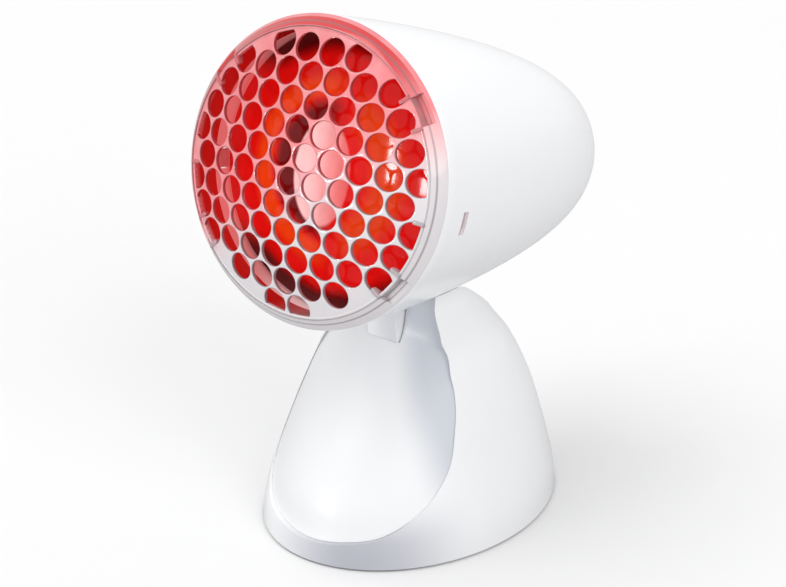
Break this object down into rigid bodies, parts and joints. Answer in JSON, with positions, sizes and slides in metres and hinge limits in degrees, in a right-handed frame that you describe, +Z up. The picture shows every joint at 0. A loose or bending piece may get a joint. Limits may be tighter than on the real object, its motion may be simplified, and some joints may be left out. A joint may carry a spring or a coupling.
{
  "type": "infrared heat therapy lamp",
  "caption": "Table heat lamp: round head with a domed honeycomb grille over a red reflector bulb, tilting in steps on a waisted oval stand.",
  "frame": {"origin": "middle of the outline, on the table under the feet", "axes": "+Z up, the lamp shines along -Y, and +X is on the right of someone who faces the grille"},
  "size_m": [0.13, 0.2126, 0.2463],
  "materials": {
    "gloss_white": "satin gloss moulded",
    "panel_white": "satin moulded",
    "clear_web": "clear moulded polycarbonate",
    "ruby_glass": "ruby stained pressed glass",
    "silvered_glass": "ruby pressed glass with an evaporated aluminium mirror",
    "clear_glass": "clear lead glass",
    "brass": "bright",
    "steel": "zinc plated",
    "tungsten": "dull wire",
    "porcelain": "glazed ceramic",
    "black_glass": "fused black glass",
    "rubber": "matt",
    "natural_nylon": "natural nylon"
  },
  "bodies": {
    "stand": {"pivot_pin": "steel", "friction_washer_left": "natural_nylon", "friction_washer_right": "natural_nylon", "stand_shell": "gloss_white", "front_panel": "panel_white", "base_plate": "panel_white", "ballast_plate": "steel", "foot_front_left": "rubber", "foot_front_right": "rubber", "foot_back_left": "rubber", "foot_back_right": "rubber", "base_screw_1": "steel", "base_screw_2": "steel", "base_screw_3": "steel", "base_screw_4": "steel", "cord_gland": "panel_white", "terminal_block": "natural_nylon", "cord_clamp": "natural_nylon", "detent_spring": "steel", "ballast_screw_front": "steel", "ballast_screw_back": "steel", "clamp_screw_left": "steel", "clamp_screw_right": "steel", "spring_screw": "steel", "supply_lead_stand": "rubber"},
    "head": {"head_housing": "gloss_white", "lampholder_body": "porcelain", "lampholder_sleeve": "brass", "lampholder_contact": "brass", "lampholder_bracket": "steel", "bracket_screw_left": "steel", "bracket_screw_right": "steel", "pivot_bush_left": "brass", "pivot_bush_right": "brass", "holder_screw_left": "steel", "holder_screw_right": "steel", "supply_lead_head": "rubber"},
    "grille": {"grille": "clear_web"},
    "bulb": {"bulb_lens": "ruby_glass", "bulb_reflector": "silvered_glass", "bulb_cap": "brass", "bulb_insulator": "black_glass", "bulb_contact": "brass", "bulb_stem": "clear_glass", "filament": "tungsten", "filament_support_left": "tungsten", "filament_support_right": "tungsten"}
  },
  "joints": [
    {"name": "head_tilt", "type": "hinge", "parent": "stand", "child": "head", "pos_m": [0, -0.01051, 0.098], "axis": [-1, 0, 0], "range_deg": [0, 28]},
    {"name": "grille_removal", "type": "slide", "parent": "head", "child": "grille", "axis": [0, -0.9857, 0.1685], "range_m": [0, 0.04]},
    {"name": "bulb_unscrew", "type": "hinge", "parent": "head", "child": "bulb", "pos_m": [0, -0.08651, 0.1822], "axis": [0, -0.9857, 0.1685], "continuous": true}
  ]
}
